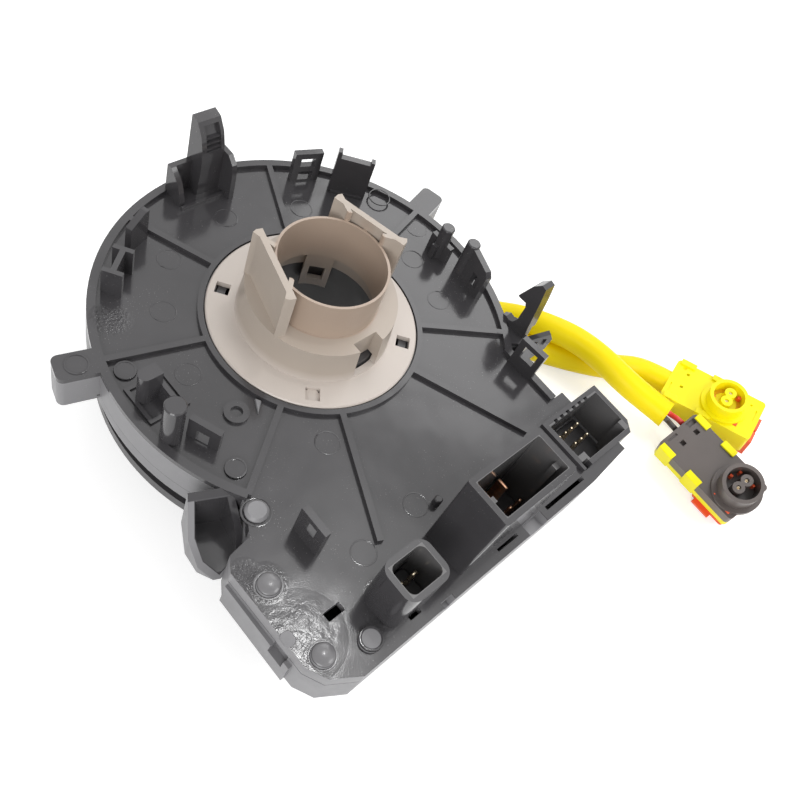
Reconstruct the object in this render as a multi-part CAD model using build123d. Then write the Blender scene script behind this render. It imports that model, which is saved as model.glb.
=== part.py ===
from build123d import *
import os
from math import acos, cos, degrees, hypot, pi, radians, sin, tan

os.makedirs("parts", exist_ok=True)

# A steering clock spring. The origin is on the steering axis, level with the top of the cover's rim.
# +Z points up the steering column and the row of sockets runs along X on the -Y side.

# Round cover
rim_r = 52.0
rim_wall = 2.0
skirt_depth = 8.9
floor_drop = 1.2
plate_t = 2.0
rib_w = 1.5
cover_bore_r = 24.2
lip_drop = 1.7
tab_reach = 8.8
tab_w = 6.5
tab_h = 10.2
tab_angle = 16.0
pocket_wall = 1.5
peg_inset = 7.8
panel_inset = 5.8
post_inset = 5.0
long_rib_reach = (6.9, 7.1)

# Cancelling cam with its flange
flange_r = 26.0
flange_t = 1.5
flange_top = 0.1
flange_gap = 0.35
hub_ring_w = 1.35
flange_slot = 3.4
flange_slot_r = 22.6
sleeve_r = 13.33
sleeve_bore_r = 12.7
sleeve_top = 20.4
collar_bore_r = 14.5
collar_foot_r = 19.1
collar_top_r = 18.3
collar_top = 9.7
collar_roof_t = 2.2
cam_lug_top = 23.2
cam_lug_angle = 16.0
cam_lug_reach = 15.2
cam_lug_half = 9.85
cam_lug_wall = 1.5
cam_lug_foot = 21.5
notch_w = 7.0
notch_r = 15.4
leg_w = 6.9
leg_drop = 4.2
leg_t = 1.2
barb_reach = 1.7
barb_top = -2.6

# Case under the cover
case_gap = 0.4
tongue_gap = 0.2
tongue_t = 1.2
seam = 0.25
case_bottom = -13.7
block_seam_z = -5.3
block_bottom = -15.5
block_floor_t = 1.8

# Rotor under the case
rotor_inset = 1.5
rotor_top = -20.0
rotor_t = 2.0
rotor_rim_h = 0.9
rotor_rim_w = 1.6
guard_wall = 1.5
guard_gap = 0.8
guard_top = -12.5
drum_gap = 0.4
drum_wall = 2.0
shaft_bore_r = 15.2
shaft_wall = 1.8
shaft_top = 2.2
shaft_clear = 0.4
boss_h = 2.0
table_z = -32.6

# Flat cable and its chamber
ribbon_t = 0.5
ribbon_start_r = 25.4
ribbon_half_turns = 12
ribbon_edge_gap = 3.4
ribbon_clear = 0.7
sheet_t = 0.3
block_half_angle = 8.0
inner_block_t = 3.0
outer_block_t = 4.3
outer_block_bottom = -12.0
neck_reach = 3.0

# Socket block beside the round cover
block_east = 39.2
block_west = -54.5
block_south = -72.8
block_wall = 2.0
west_pad = 0.7
shroud_wall = 1.4
main_box = (-15.2, 7.1, -69.7, -58.0)
main_top = 25.0
main_floor = 3.0
two_box = (-36.2, -24.4, -69.5, -59.5)
two_top = 14.3
two_floor = 2.0
twelve_box = (29.5, 51.4, -69.4, -54.2)
twelve_first_x = 33.6
east_step = 3.6
carrier_t = 1.2
carrier_gap = 0.2
pin_gap = 0.05
pin_pitch = 2.45
stake_r = 1.6
stake_head_r = 2.6
stake_head_h = 1.1
stake_points = ((-50.0, -47.2), (-50.1, -64.7), (-40.4, -68.1), (-42.3, -33.1))

# Airbag leads
lead_d = 8.0
wire_d = 1.7
lead_seat = 1.5
lead_z = -28.1
lead_y = 4.7
cable_box = (20.0, 36.0, -11.0, 11.0)
cable_box_angle = -8.0
box_wall = 2.0
cover_recess = 0.4
cable_cover_t = 0.9
cable_cover_gap = 0.15
socket_box = (-42.0, -26.0, -9.0, 9.0)
drive_pin_r = 3.0
drive_pin_at = 40.0

# Airbag plugs
plug_len = 29.0
plug_w = 15.0
shell_t = 4.8
cover_t = 3.0
barrel_r = 5.8
barrel_wall = 1.1
barrel_base_r = 7.2
black_barrel = (9.2, 7.0)
yellow_barrel = (3.4, 5.0)
lock_x = (3.5, 13.5)
lock_t = 1.2
lock_travel = 1.8
lock_gap = 0.15
tab_wrap = 0.9

floor_z = -floor_drop
under_z = floor_z - plate_t
flange_under = flange_top - flange_t
hub_ring_r = flange_r + flange_gap
case_r = rim_r - case_gap
chamber_r = rim_r - rim_wall - tongue_gap - tongue_t
rotor_r = rim_r - rotor_inset
ribbon_half_pitch = (chamber_r - ribbon_edge_gap - ribbon_start_r) / ribbon_half_turns
block_floor_top = block_bottom + block_floor_t
east_step_y = twelve_box[3] + east_step
# The point of the rim, 5 parts south to 12 parts sideways, that the hook and the pocket hang from
side_x = rim_r * 12 / 13
side_y = -rim_r * 5 / 13
carrier_top = block_floor_top + carrier_t
rotor_under = rotor_top - rotor_t
drum_r = cover_bore_r - drum_gap
guard_r = chamber_r - guard_gap
ribbon_start_angle = -90 - block_half_angle
block_east_angle = -degrees(acos(block_east / rim_r))
block_west_angle = -145.0
UP = (Align.CENTER, Align.CENTER, Align.MIN)
CORNER = (Align.MIN, Align.MIN, Align.MIN)


def box(x0, x1, y0, y1, z0, z1):
    """A block given by its two corners."""
    return Pos(x0, y0, z0) * Box(x1 - x0, y1 - y0, z1 - z0, align=CORNER)


def disc(radius, z0, z1, x=0.0, y=0.0):
    """An upright cylinder from z0 to z1."""
    return Pos(x, y, z0) * Cylinder(radius, z1 - z0, align=UP)


def ring(r_out, r_in, z0, z1, x=0.0, y=0.0):
    """An upright tube."""
    return disc(r_out, z0, z1, x, y) - disc(r_in, z0 - 1, z1 + 1, x, y)


def prism(points, z0, z1):
    """A closed outline in plan, raised from z0 to z1."""
    return Pos(0, 0, z0) * extrude(make_face(Polyline(*points, close=True)), amount=z1 - z0)


def on_circle(angle, radius):
    """A point in plan at an angle in degrees."""
    return (radius * cos(radians(angle)), radius * sin(radians(angle)))


def sector(a0, a1, z0, z1):
    """A wide slice between two angles, less than half a turn apart."""
    reach = 6 * rim_r
    points = [(0, 0)]
    for share in (0.0, 0.33, 0.67, 1.0):
        points.append(on_circle(a0 + share * (a1 - a0), reach))
    return prism(points, z0, z1)


def turned(shape, angle):
    """A shape turned about the steering axis."""
    return Rot(0, 0, angle) * shape


def ring_piece(r_out, r_in, a0, a1, z0, z1):
    """A part of an upright tube between two angles."""
    return ring(r_out, r_in, z0, z1) & sector(a0, a1, z0 - 1, z1 + 1)


def wall(p0, p1, thick, outline, windows=()):
    """A standing plate from p0 towards p1, its outline and windows given as (along, height)."""
    along = Vector(p1[0] - p0[0], p1[1] - p0[1], 0).normalized()
    plane = Plane(origin=(p0[0], p0[1], 0), x_dir=along, z_dir=(along.Y, -along.X, 0))
    face = make_face(Polyline(*outline, close=True))
    body = extrude(plane * face, amount=thick / 2, both=True)
    for a0, a1, z0, z1 in windows:
        hole = make_face(Polyline((a0, z0), (a1, z0), (a1, z1), (a0, z1), close=True))
        body -= extrude(plane * hole, amount=thick, both=True)
    return body


def latch(p0, p1, thick, top, windows):
    """A rectangular latch frame standing in the floor."""
    length = hypot(p1[0] - p0[0], p1[1] - p0[1])
    outline = [(0, under_z), (length, under_z), (length, top), (0, top)]
    return wall(p0, p1, thick, outline, windows)


def peg(x, y, radius, top):
    """A round post with a broken edge at its top."""
    post = disc(radius, under_z, top, x, y)
    return chamfer(post.edges().group_by(Axis.Z)[-1], 0.3)


def rounded_box(bounds, z0, z1, radius):
    """A block with rounded upright edges, from (x0, x1, y0, y1)."""
    x0, x1, y0, y1 = bounds
    return fillet(box(x0, x1, y0, y1, z0, z1).edges().filter_by(Axis.Z), radius)


def inset(bounds, amount):
    """Bounds moved inwards on all four sides."""
    x0, x1, y0, y1 = bounds
    return (x0 + amount, x1 - amount, y0 + amount, y1 - amount)


def block_face(amount):
    """The socket block in plan, moved inwards by an amount."""
    points = [
        on_circle(block_east_angle, rim_r),
        (block_east, east_step_y),
        (block_east + 3.4, east_step_y),
        (block_east + 3.4, twelve_box[3]),
        (twelve_box[1], twelve_box[3]),
        (twelve_box[1], twelve_box[2] + 3.0),
        (twelve_box[1] - 2.2, twelve_box[2]),
        (block_east + 5.8, twelve_box[2]),
        (block_east + 5.8, block_south + 1.3),
        (block_east - 9.0, block_south),
        (block_west + 8.6, block_south),
        (block_west + 2.6, block_south + 3.8),
        (block_west + 0.3, block_south + 8.4),
        (block_west, side_y - 20.8),
        (block_west + 2.1, side_y - 17.7),
        (block_west + 7.7, side_y - 16.7),
        on_circle(block_west_angle, rim_r),
        (0, 0),
    ]
    face = make_face(Polyline(*points, close=True))
    if amount:
        face = offset(face, -amount)
    return face


def block_solid(amount, z0, z1):
    """The socket block's outline raised between two heights."""
    return Pos(0, 0, z0) * extrude(block_face(amount), amount=z1 - z0)


def tall_clip():
    """The tall snap blade at the top of the rim, in its open box."""
    back = rim_r - 1.8
    x0, x1 = -8.2, 6.0
    wall_t = 1.4
    box_top = 8.0
    cheek_top = 11.6
    body = box(x0, x1, back - wall_t, back, under_z, box_top)
    body += wall((x0 + wall_t / 2, back), (x0 + wall_t / 2, 0), wall_t,
                 [(0, under_z), (6.2, under_z), (6.2, 1.0), (4.6, 5.2), (1.6, box_top), (0, box_top)])
    body += wall((x1 - wall_t / 2, back), (x1 - wall_t / 2, 0), wall_t,
                 [(0, under_z), (9.4, under_z), (9.2, 6.0), (8.6, 9.6), (6.6, cheek_top), (2.4, cheek_top),
                  (0, box_top)])
    body += box(x0, x1, back - 7.6, back - 6.8, under_z, floor_z + 0.9)
    # The blade is thick at its foot and curves back to a thin tip
    profile = [(-0.8, under_z), (4.6, under_z), (5.0, 9.0), (4.6, 13.4), (3.6, 17.0), (1.6, 20.0),
               (-0.8, 20.6)]
    blade = wall((1.3, back), (1.3, 0), 6.6, profile)
    hollow = [(9, 12.6), (3.3, 12.6), (2.6, 16.2), (0.9, 19.0), (9, 19.0)]
    blade -= wall((1.5, back), (1.5, 0), 4.2, hollow)
    for n in range(3):
        z = 13.0 + 1.3 * n
        reach = 4.4 - 0.35 * n
        blade += box(-0.6, 3.6, back - reach, back - 2.0, z, z + 0.5)
    return body + blade


def snap_hook():
    """The barbed hook outside the rim's right side, with its bracket and ear."""
    x0, x1 = -3.4, 0.2
    outline = [(-6.4, -skirt_depth), (-13.4, -skirt_depth), (-13.0, 1.0), (-11.7, 13.0), (-11.0, 17.6),
               (-9.6, 17.9), (-7.8, 15.6), (-5.6, 9.4), (-8.4, 9.6), (-9.0, 8.4), (-9.0, 2.8),
               (-8.2, 1.4), (-7.2, 0.9), (-6.0, 1.2), (-4.6, 0.0)]
    plane = Plane(origin=(x0, 0, 0), x_dir=(0, 1, 0), z_dir=(1, 0, 0))
    blade = extrude(plane * make_face(Polyline(*outline, close=True)), amount=x1 - x0)
    blade -= box(x0 + 2.2, x1 + 1, -16, -4, -skirt_depth - 1, 3.0)
    bracket = prism([(-6.0, -9.6), (-3.2, -5.6), (-1.4, -7.4), (-1.4, -13.4), (-4.4, -14.4), (-7.6, -12.4)],
                    -skirt_depth, -0.4)
    shelf = prism([(-7.8, -14.8), (-3.0, -13.0), (-1.0, -14.6), (-3.0, -17.4), (-8.8, -19.0)],
                  -skirt_depth, -1.0)
    ear = wall((-2.4, -14.0), (4.4, -17.6), 1.4,
               [(0, -skirt_depth), (4.4, -skirt_depth), (6.8, -4.0), (7.0, 0.4), (5.6, 2.6), (0, 0.0)],
               [(1.6, 3.2, -2.6, -0.6), (4.2, 5.4, -2.0, 0.6)])
    outside = Pos(side_x, side_y, 0) * (blade + bracket + shelf + ear)
    return outside - disc(rim_r - 0.3, -skirt_depth - 1, 20)


def corner_pocket():
    """The open clip pocket between the round skirt and the block's left side."""
    offsets = [(-3.9, -2.2), (4.6, -6.0), (3.0, -14.0), (0.8, -17.2), (-5.2, -18.4), (-7.8, -13.4),
               (-7.4, -8.6)]
    points = [(x - side_x, y + side_y) for x, y in offsets]
    low = -14.5
    shell = prism(points, low, 0)
    # The top falls away from the edge on the round side
    slope = Plane(origin=(*points[0], 0.0), x_dir=(0.913, -0.408, 0), z_dir=(-0.29, -0.65, 0.70))
    shell -= slope * Box(60, 60, 30, align=UP)
    face = offset(make_face(Polyline(*points, close=True)), -pocket_wall)
    pocket = Pos(0, 0, low + 1.2) * extrude(face, amount=30)
    shell -= pocket
    shell -= block_solid(-carrier_gap, low - 1, block_seam_z)
    return shell - disc(case_r + 0.2, low - 1, -skirt_depth)


def left_pocket():
    """Posts, latch plate and recessed frame on the left of the floor."""
    body = peg(post_inset - rim_r, -9.2, 2.4, 12.1)
    body += box(-46.4, -43.0, 0.2, 3.4, under_z, 8.2)
    body += disc(1.6, under_z, 8.2, -46.4, 1.8)
    body += box(-43.4, -42.4, -4.4, 0.4, under_z, 4.2)
    body += wall((-43.2, -10.0), (-40.0, -16.9), 1.5,
                 [(0, under_z), (7.6, under_z), (7.6, 5.2), (0, 5.6)], [(2.2, 5.2, floor_z + 0.4, 2.6)])
    body += ring(2.9, 1.4, under_z, floor_z + 0.8, -31.7, -11.7)
    frame = box(-48.8, -38.8, -4.6, 5.6, under_z, floor_z + 0.6)
    frame -= box(-47.9, -39.7, -3.7, 4.7, under_z - 1, 1)
    return body + frame


def cover_features():
    """Everything that stands on the cover's floor."""
    body = tall_clip()
    body += left_pocket()
    # Round peg with cross gussets
    peg_x = rim_r - peg_inset
    body += peg(peg_x, 0.4, 1.8, 9.1)
    body += box(peg_x - 0.75, peg_x + 0.75, -3.4, 3.8, under_z, 4.2)
    body += box(peg_x - 3.0, peg_x + 3.0, -0.35, 1.15, under_z, 3.4)
    # Peg joined to a sloping panel with one window
    panel_x = rim_r - panel_inset
    body += peg(panel_x, -7.3, 1.8, 9.8)
    body += wall((panel_x, -7.3), (panel_x - 2.8, -16.9), 1.7,
                 [(0, under_z), (10.0, under_z), (10.0, 7.2), (8.8, 8.6), (0, 9.4)], [(5.2, 8.2, 1.0, 4.6)])
    body += wall((panel_x - 2.2, -14.2), (panel_x + 2.2, -15.2), 1.6,
                 [(0, under_z), (3.8, under_z), (3.8, 3.0), (0, 4.6)])
    # Ladder latch with two windows and a side gusset
    body += latch((23.7, 39.8), (31.1, 37.2), 1.7, 8.4, ((1.9, 5.9, 4.0, 6.6), (1.9, 5.9, -0.6, 2.2)))
    body += wall((30.0, 37.4), (32.6, 39.4), 1.4, [(0, under_z), (3.2, under_z), (3.2, 0.8), (0, 3.0)])
    # Plain stop wall with two horns and a ledge at its foot
    body += wall((31.5, 32.6), (38.7, 25.5), 1.8,
                 [(0, under_z), (10.1, under_z), (10.1, 11.8), (9.1, 11.8), (9.1, 10.8), (1.1, 10.8),
                  (1.1, 12.8), (0, 12.8)])
    body += wall((30.9, 31.9), (38.0, 24.9), 1.2, [(0.6, under_z), (9.4, under_z), (9.4, -0.4), (0.6, -0.4)])
    # Latch frames beside the socket block
    body += latch((37.2, -35.6), (37.8, -43.1), 1.7, 8.7, ((1.8, 5.8, 3.2, 7.2),))
    body += latch((-37.5, -40.2), (-37.5, -47.8), 1.6, 8.6, ((2.3, 5.3, 3.6, 7.0),))
    # Slant clip and I-section post on the left edge
    body += wall((-26.9, 37.9), (-21.0, 39.8), 1.7,
                 [(0, under_z), (6.2, under_z), (6.2, 8.6), (4.8, 8.6), (0, 6.4)])
    post = box(-0.65, 0.65, -3.6, 3.6, under_z, 6.4)
    for y in (-4.2, 3.0):
        post += box(-2.4, 2.4, y, y + 1.2, under_z, 6.4)
    body += Pos(-33.9, 31.2, 0) * Rot(0, 0, -52) * post
    # Low round pads and a small locating peg
    for x, y in ((-45.8, 9.5), (-40.0, -22.7)):
        body += disc(2.4, under_z, floor_z + 0.5, x, y)
    body += peg(-8.0, -54.0, 1.0, 1.4)
    return body


def radial_ribs():
    """Ribs from the bore ring to the rim and across the block's plate."""
    start = hub_ring_r + hub_ring_w / 2
    inner = rim_r - rim_wall / 2
    east_reach, west_reach = (rim_r + reach for reach in long_rib_reach)
    ribs = ((-65, east_reach), (-115, west_reach), (-35, inner), (-145, inner), (65, inner), (115, inner),
            (tab_angle, inner), (180 - tab_angle, inner))
    solids = [turned(box(start, reach, -rib_w / 2, rib_w / 2, under_z, 0), angle) for angle, reach in ribs]
    return sum(solids[1:], solids[0])


def stator_cover():
    """The top moulding: rimmed round floor, ribs, clips, tabs and the three socket walls."""
    body = disc(rim_r, under_z, floor_z) + block_solid(0, under_z, floor_z)
    rim = ring(rim_r, rim_r - rim_wall, -skirt_depth, 0)
    body += rim - sector(block_west_angle, block_east_angle, -skirt_depth - 1, 1)
    body += box(block_east - rim_wall, block_east, east_step_y, side_y - 13.0, under_z, 0)
    skirt = block_solid(0, block_seam_z, under_z) - block_solid(block_wall, block_seam_z - 1, under_z + 1)
    body += skirt - disc(rim_r - 0.2, block_seam_z - 1, under_z)
    body += radial_ribs()
    body += ring(hub_ring_r + hub_ring_w, hub_ring_r, under_z, 0)
    # Side tabs
    for angle in (tab_angle, 180 - tab_angle):
        tab = box(rim_r - 0.3, rim_r + tab_reach, -tab_w / 2, tab_w / 2, -tab_h, 0)
        tab = fillet(tab.edges().filter_by(Axis.Z).group_by(Axis.X)[-1], 1.6)
        body += turned(tab, angle)
    body += cover_features()
    body += snap_hook()
    body += corner_pocket()
    # Socket walls
    body += rounded_box(main_box, under_z, main_top, 0.6)
    body += rounded_box(two_box, under_z, two_top, 2.8)
    body += box(*twelve_box, carrier_top + carrier_gap, 0) & block_solid(0, block_bottom, 1)
    # The tall socket's outer wall is stepped on the right
    for n in range(2):
        x = main_box[1] + 0.65 * n
        body += box(x - 0.2, x + 0.65, main_box[2] + 0.6, main_box[3], under_z, main_top - 0.6 * (n + 1))
    body -= rounded_box(inset(main_box, shroud_wall), under_z - 1, main_top + 1, 0.5)
    body -= rounded_box(inset(two_box, shroud_wall), under_z - 1, two_top + 1, 1.6)
    body -= twelve_mouth()
    body = edge_recesses(body)
    # Keys inside the large sockets
    for x0, x1, y0, y1 in main_keys():
        body += box(x0, x1, y0, y1, under_z, main_top - 1.5)
    # Bore, flange recess, latch slot and stake holes
    body -= disc(cover_bore_r, under_z - 1, 1)
    body -= disc(hub_ring_r, -lip_drop, 1)
    body -= box(-44.8, -40.5, -60.3, -58.2, under_z - 1, 1)
    for x, y in stake_points:
        body -= disc(stake_r + 0.1, block_bottom, 1, x, y)
    return body


def twelve_mouth():
    """The flush socket's mouth, with filled corners and a notched edge on the hub side."""
    x0, x1, y0, y1 = inset(twelve_box, shroud_wall)
    y1 -= 0.4
    points = [(x0, y1), (x1, y1), (x1, y0 + 2.6), (x1 - 1.6, y0 + 2.6), (x1 - 1.6, y0), (x0 + 2.5, y0),
              (x0 + 2.5, y0 + 2.2), (x0, y0 + 2.2)]
    mouth = prism(points, block_bottom, 1)
    for n in range(6):
        x = twelve_first_x + pin_pitch * n
        mouth += box(x - 0.6, x + 0.6, y1 - 0.2, y1 + 0.8, block_bottom, 1)
    return mouth


def edge_recesses(body):
    """The slots and recesses along the plate's outer edge, beside the sockets."""
    tall_foot = main_box[2]
    body += box(4.6, 13.2, block_south + 0.2, tall_foot + 0.3, block_seam_z, under_z)
    body -= box(5.6, 12.2, block_south - 1, tall_foot - 0.2, block_seam_z + 1.2, 1)
    body -= box(14.0, 28.4, tall_foot - 1.2, tall_foot - 0.2, under_z - 1, 1)
    body -= box(-3.7, 3.1, tall_foot - 1.4, tall_foot - 0.6, under_z - 1, 1)
    body -= box(-23.0, -19.5, block_south - 1, block_south + 1.3, block_seam_z - 1, 1)
    body -= box(-30.8, -27.6, two_box[2] - 0.8, two_box[2] + 0.4, under_z - 1, floor_z + 1.0)
    # Square pocket in the flush socket's corner
    x, y = twelve_box[0], twelve_box[2]
    body -= box(x + 0.9, x + 3.1, y - 0.1, y + 1.9, -3.0, 1)
    return body


def main_keys(grow=0.0):
    """The two keys inside the tall socket, in plan."""
    left = main_box[0] + shroud_wall
    right = main_box[1] - shroud_wall
    return [(left - 0.5, left + 1.8 + grow, -64.6 - grow, -63.2 + grow),
            (right - 1.6 - grow, right + 0.5, -67.0 - grow, -65.6 + grow)]


def stator_case():
    """The lower case: chamber wall, socket box and the stakes that hold the cover."""
    top = -skirt_depth - seam
    body = ring(case_r, chamber_r, case_bottom, top)
    body += ring(chamber_r + tongue_t, chamber_r, case_bottom, under_z)
    lower = block_solid(0, block_bottom, block_seam_z - seam)
    lower += box(block_west - west_pad, block_west + 1, -62.0, -41.0, block_bottom, block_seam_z - 1.6)
    lower -= block_solid(block_wall, block_floor_top, 1)
    lower -= disc(case_r - 0.5, block_bottom - 1, 1)
    body += lower
    # Latch window in the west wall and the way out for the flat cable
    body -= box(block_west - west_pad - 1, block_west + 1.2, -60.4, -56.2, -10.2, block_seam_z + 1)
    body -= box(-4.4, 4.4, -case_r - 1, -chamber_r + 1, outer_block_bottom - 0.3, -5.6)
    # The flush socket's shroud stands in the case's open corner
    x0, x1, y0, y1 = inset(twelve_box, -carrier_gap)
    body -= box(x0, x1 + 5, y0, y1, carrier_top, 1)
    for x, y in stake_points:
        body += disc(stake_r, block_floor_top - 0.5, floor_z + 0.1, x, y)
        head = disc(stake_head_r, floor_z, floor_z + stake_head_h, x, y)
        body += chamfer(head.edges().group_by(Axis.Z)[-1], 0.6)
    return body


def blade_pin(x, y, half_x, half_y, z0, z1):
    """A flat or square contact pin with a bevelled tip."""
    pin = box(x - half_x, x + half_x, y - half_y, y + half_y, z0, z1)
    return chamfer(pin.edges().group_by(Axis.Z)[-1], 0.25)


def main_pins(grow=0.0):
    """The tall socket's two wide blades and its row of signal blades."""
    pins = [blade_pin(x, -61.2, 0.45 + grow, 1.4 + grow, block_floor_top, 12.0) for x in (0.1, -5.0)]
    for n in range(5):
        x = main_box[0] + 4.6 + 1.3 * pin_pitch * n
        pins.append(blade_pin(x, -66.0, 0.5 + grow, 0.4 + grow, block_floor_top, 10.0))
    return pins


def two_pins(grow=0.0):
    """The small socket's two blades."""
    return [blade_pin(x, -64.0, 0.75 + grow, 0.4 + grow, block_floor_top, 7.6) for x in (-31.7, -27.7)]


def twelve_pins(grow=0.0):
    """The seven square pins of the flush socket, in two rows."""
    pins = []
    for y, places in ((-59.0, range(0, 4)), (-62.6, range(1, 4))):
        for n in places:
            x = twelve_first_x + pin_pitch * n
            pins.append(blade_pin(x, y, 0.35 + grow, 0.35 + grow, block_floor_top, -3.0))
    return pins


def terminal_carrier():
    """The moulding that holds every contact pin of the stator."""
    body = block_solid(block_wall + carrier_gap, block_floor_top, carrier_top)
    body -= disc(case_r + 1.4, block_floor_top - 1, 1)
    for bounds, height in ((main_box, main_floor), (two_box, two_floor)):
        body += rounded_box(inset(bounds, shroud_wall + carrier_gap), carrier_top - 0.4, height, 1.2)
    for x0, x1, y0, y1 in main_keys(carrier_gap):
        body -= box(x0, x1, y0, y1, carrier_top, main_floor + 1)
    body += box(-6.0, 6.0, -56.6, -55.0, carrier_top - 0.4, under_z - carrier_gap)
    for x, y in stake_points:
        body -= disc(stake_r + carrier_gap, block_bottom, 1, x, y)
    for pin in main_pins(pin_gap) + two_pins(pin_gap) + twelve_pins(pin_gap):
        body -= pin
    return body


def ribbon_cable():
    """The wound flat cable, as half turns that widen by the pitch."""
    z0 = rotor_top + sheet_t + ribbon_clear
    z1 = under_z - sheet_t - ribbon_clear
    reach = 2 * rim_r
    turns = []
    for k in range(ribbon_half_turns):
        radius = ribbon_start_r + ribbon_half_pitch * k
        centre = ribbon_half_pitch * (k % 2)
        y0, y1 = ((0, reach), (-reach, 0))[k % 2]
        turn = ring(radius + ribbon_t / 2, radius - ribbon_t / 2, z0, z1, centre, 0)
        turns.append(turn & box(-reach, reach, y0, y1, z0 - 1, z1 + 1))
    return turned(sum(turns[1:], turns[0]), ribbon_start_angle)


def ribbon_outer_block():
    """The end piece that leads the flat cable through the case wall."""
    outer_r = chamber_r - 0.3
    body = ring_piece(outer_r, outer_r - outer_block_t, -90 - block_half_angle, -90 + block_half_angle,
                      outer_block_bottom, under_z - sheet_t)
    neck = box(-4.0, 4.0, -rim_r - neck_reach, -outer_r + 1.5, outer_block_bottom + 0.4, -6.0)
    return body + neck


def ribbon_inner_block():
    """The end piece that leads the flat cable into the rotor."""
    r_in = drum_r + 0.05
    return ring_piece(r_in + inner_block_t, r_in, ribbon_start_angle - 20, ribbon_start_angle,
                      rotor_top, under_z - 1.5)


def lead_piece(grow, z0, z1):
    """The lead frame's arc under the rotor and its rise to the inner ribbon block."""
    angle = ribbon_start_angle - 14
    r_post = drum_r + 0.8
    arc = ring_piece(31.0 + grow, 28.0 - grow, -174 - grow, -4 + grow, z0, z1)
    rise = box(r_post - grow, 30.0, -1.5 - grow, 1.5 + grow, z0, z1)
    post = box(r_post - grow, r_post + 0.6 + grow, -1.5 - grow, 1.5 + grow, z0, rotor_top)
    return arc + turned(rise + post, angle)


def lead_frame():
    """The copper strip between the flat cable, the cable box and the switch socket."""
    return lead_piece(0.0, rotor_under + 0.2, rotor_under + 0.5)


def switch_pins(grow=0.0):
    """Two rows of pins along X in the wheel-side socket."""
    tail = socket_box[1] - 0.6
    half = 0.32 + grow
    pins = []
    for z in (-26.4, -29.2):
        for n in range(5):
            y = pin_pitch * (n - 2)
            pins.append(box(tail - 9.4, tail + grow, y - half, y + half, z - half, z + half))
    return pins


def rotor_disc():
    """The lower moulding that turns with the wheel."""
    body = ring(rotor_r, shaft_bore_r, rotor_under, rotor_top)
    body += ring(rotor_r, rotor_r - rotor_rim_w, rotor_top - 0.5, rotor_top + rotor_rim_h)
    body += ring(guard_r, guard_r - guard_wall, rotor_top - 0.5, guard_top)
    body += ring(drum_r, drum_r - drum_wall, rotor_top - 0.5, flange_under)
    body += ring(shaft_bore_r + shaft_wall, shaft_bore_r, rotor_top - 0.5, shaft_top)
    body += ring(drum_r, shaft_bore_r, rotor_under - boss_h, rotor_under + 0.5)
    for angle in (5, 95, 185, 275):
        web = box(shaft_bore_r + 1, drum_r - drum_wall + 0.3, -0.9, 0.9, rotor_top - 0.5, -6.0)
        body += turned(web, angle)
    # Windows that catch the cam's barbs
    for angle in (50, 230):
        hole = box(shaft_bore_r - 3, shaft_bore_r + shaft_wall + 1, -3.2, 3.2,
                   -leg_drop - 0.4, barb_top + 0.2)
        body -= turned(hole, angle)
    # Drive pins, cable box and switch socket on the wheel side
    for y in (-drive_pin_at, drive_pin_at):
        pin = disc(drive_pin_r, table_z, rotor_under + 0.5, 0, y)
        body += chamfer(pin.edges().group_by(Axis.Z)[0], 0.6)
    body -= turned(box(*inset(cable_box, box_wall), table_z, rotor_under), cable_box_angle)
    body += turned(cable_box_walls(), cable_box_angle)
    x0, x1, y0, y1 = socket_box
    body += box(x0, x1, y0, y1, table_z, rotor_under + 0.5)
    body -= box(x0 - 1, x1 - box_wall, y0 + box_wall, y1 - box_wall, table_z + box_wall, rotor_under - 1.4)
    for pin in switch_pins(pin_gap):
        body -= pin
    return body - lead_piece(0.25, rotor_under - 0.01, rotor_under + 0.5)


def cable_box_walls():
    """The box that the airbag leads leave from, open below for its lid."""
    x0, x1, y0, y1 = cable_box
    inner = inset(cable_box, box_wall)
    ledge = inset(cable_box, box_wall - 0.8)
    recess = table_z + cover_recess + cable_cover_t
    body = box(x0, x1, y0, y1, table_z, rotor_under + 0.5)
    body -= box(*inner, table_z - 1, rotor_under)
    body -= box(ledge[0], inner[1], ledge[2], ledge[3], table_z - 1, recess)
    for y in (-lead_y, lead_y):
        seat = Pos(x1 - lead_seat, y, lead_z) * Rot(0, 90, 0)
        body -= seat * Cylinder(lead_d / 2 + 0.1, lead_seat + 1, align=UP)
        body -= seat * Cylinder(lead_d / 2 - 1.2, 4, align=Align.CENTER)
    return body


def cable_cover():
    """The lid that closes the cable box from below."""
    ledge = inset(cable_box, box_wall - 0.8 + cable_cover_gap)
    inner = inset(cable_box, box_wall)
    z0 = table_z + cover_recess
    lid = box(ledge[0], inner[1] - cable_cover_gap, ledge[2], ledge[3], z0, z0 + cable_cover_t)
    return turned(lid, cable_box_angle)


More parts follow.
